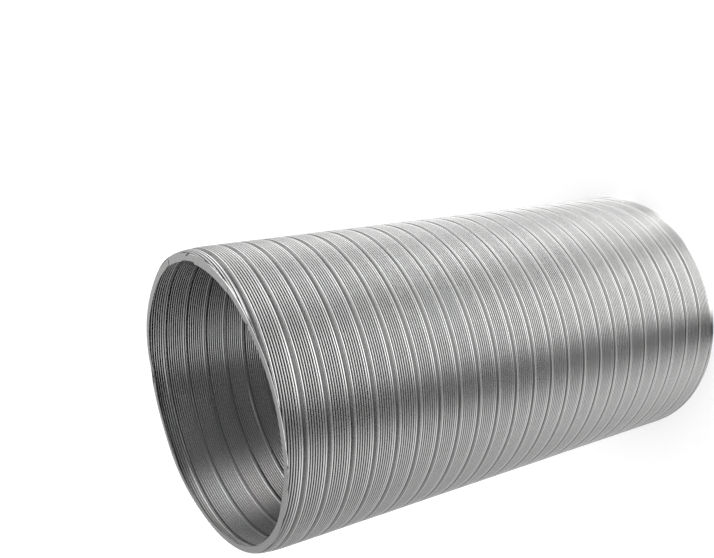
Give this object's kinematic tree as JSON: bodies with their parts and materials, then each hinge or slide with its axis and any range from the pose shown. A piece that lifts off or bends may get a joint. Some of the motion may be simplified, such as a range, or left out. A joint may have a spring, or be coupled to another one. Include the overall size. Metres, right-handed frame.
{
  "type": "flexible aluminium duct",
  "caption": "Short pushed-together length of flexible aluminium air duct: a finely ribbed foil strip wound into a tube with a lock seam, open at both ends.",
  "frame": {"origin": "centre of the flat rim that the duct stands on, in the plane of that rim", "axes": "+Z along the duct's axis, up from the end it stands on to its upper mouth"},
  "size_m": [0.131, 0.131, 0.2482],
  "materials": {
    "foil": "bright rolled foil, softly brushed along the strip, with a satin shine"
  },
  "bodies": {
    "root": {"duct_wall": "foil"}
  },
  "joints": []
}
